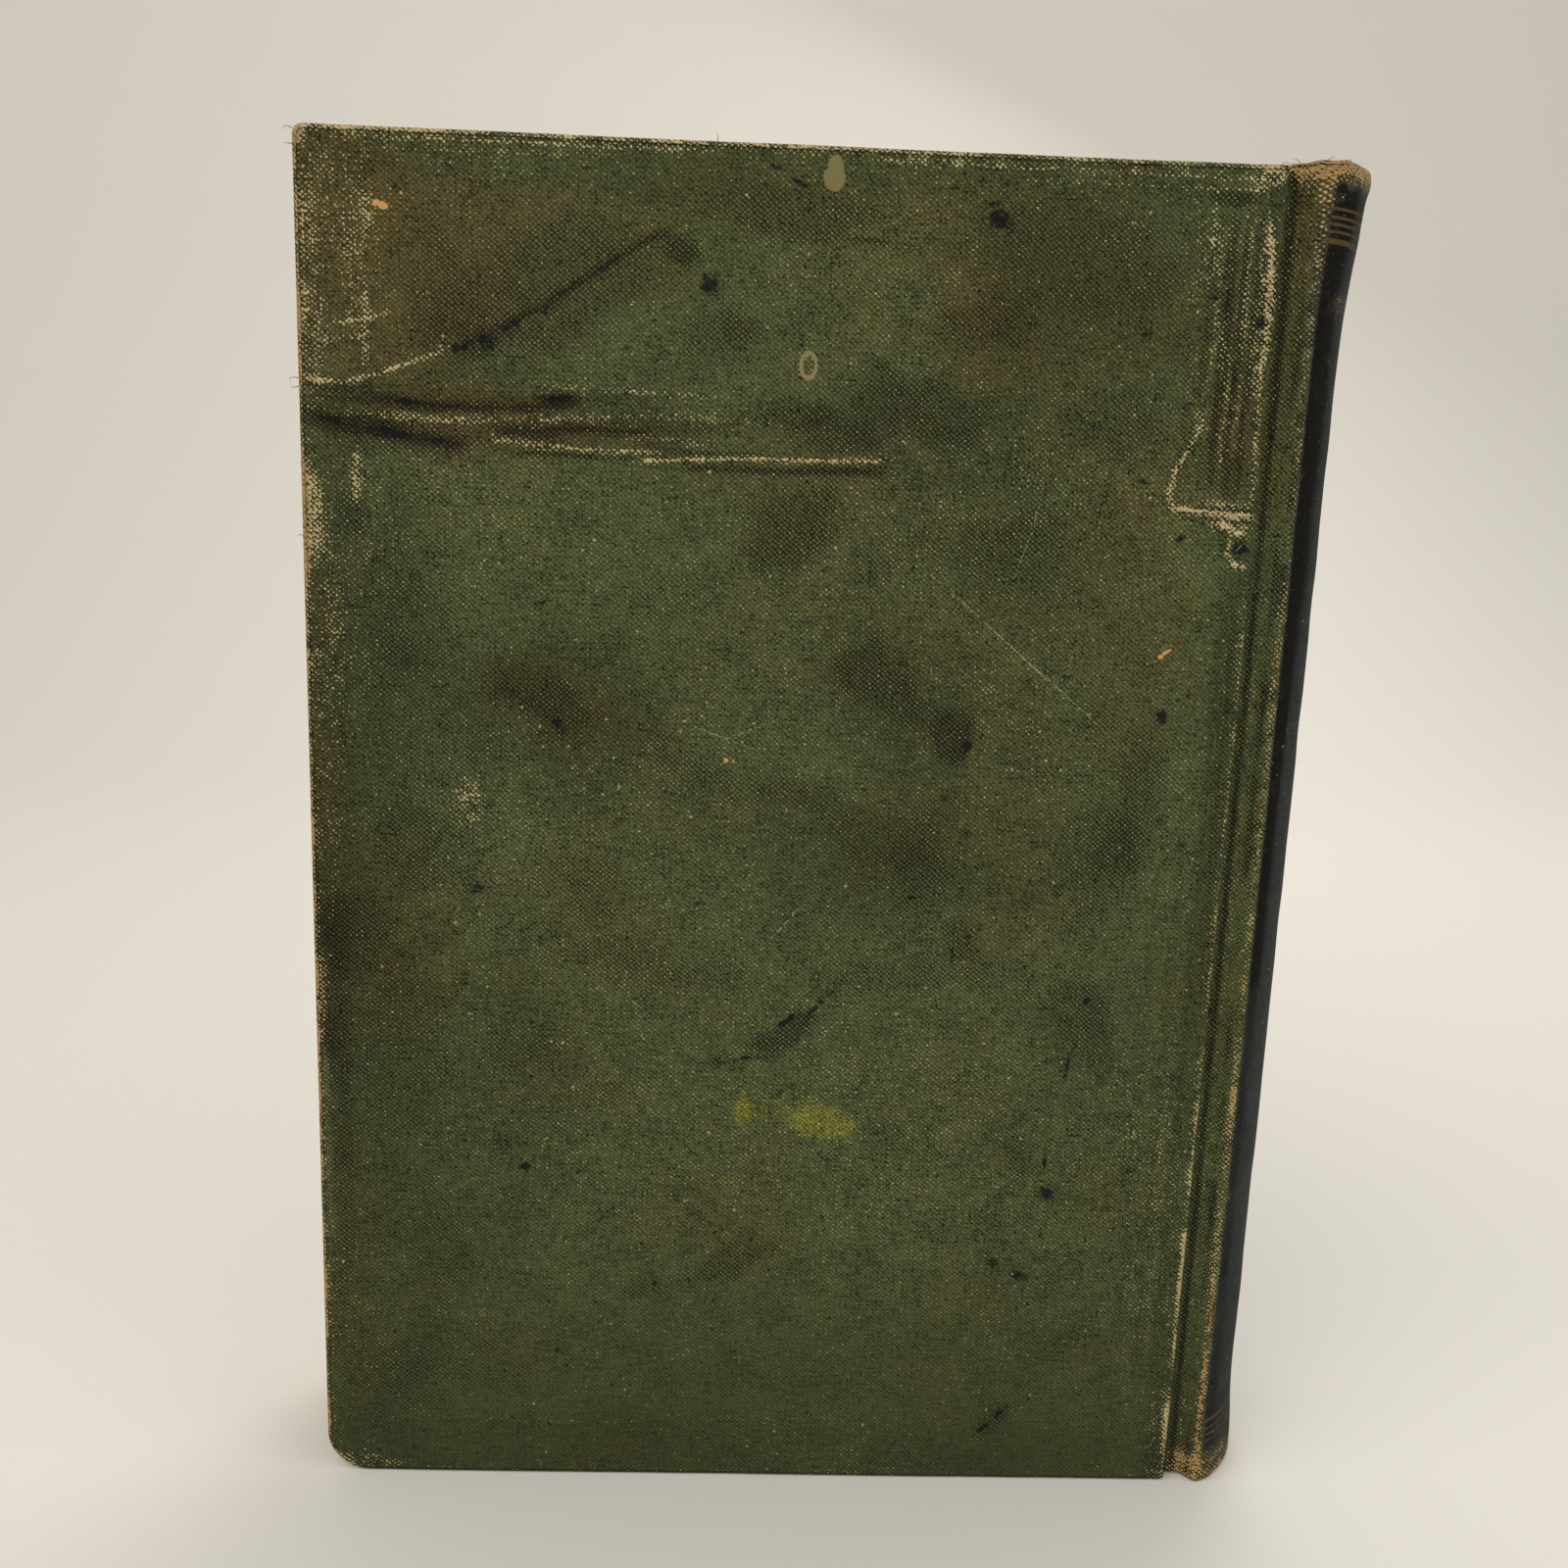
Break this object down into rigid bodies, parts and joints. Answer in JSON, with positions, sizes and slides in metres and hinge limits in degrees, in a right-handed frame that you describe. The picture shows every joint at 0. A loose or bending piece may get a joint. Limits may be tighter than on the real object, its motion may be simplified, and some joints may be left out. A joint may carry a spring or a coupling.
{
  "type": "hardback book",
  "caption": "Cloth-bound hardback book standing on its tail, with a rounded spine, grooved joints and covers that swing open.",
  "frame": {"origin": "centre of the bounding box at the tail edges the book stands on", "axes": "+Z from tail to head, +Y from the back cover to the front cover, +X from the fore-edge to the spine"},
  "size_m": [0.169, 0.036, 0.2308],
  "materials": {
    "book_cloth": "starched green book cloth, rubbed and stained",
    "pages": "aged, toned page edges",
    "endpaper": "aged smooth paper",
    "strawboard": "pressed straw board",
    "card": "flexible card",
    "kraft_paper": "brown kraft paper",
    "mull": "open-weave starched cotton"
  },
  "bodies": {
    "block": {"text_block": "pages", "spine_mull": "mull", "spine_lining": "kraft_paper", "spine_strip": "card", "spine_cloth": "book_cloth", "back_flyleaf": "endpaper", "front_flyleaf": "endpaper"},
    "back_cover": {"back_board": "strawboard", "back_cover_cloth": "book_cloth", "back_mull_flange": "mull", "back_pastedown": "endpaper"},
    "front_cover": {"front_board": "strawboard", "front_cover_cloth": "book_cloth", "front_mull_flange": "mull", "front_pastedown": "endpaper"}
  },
  "joints": [
    {"name": "back_cover_hinge", "type": "hinge", "parent": "block", "child": "back_cover", "pos_m": [0.07102, -0.0183, 0.115], "axis": [0, 0, 1], "range_deg": [0, 180]},
    {"name": "front_cover_hinge", "type": "hinge", "parent": "block", "child": "front_cover", "pos_m": [0.07102, 0.0183, 0.115], "axis": [0, 0, -1], "range_deg": [0, 180]}
  ]
}
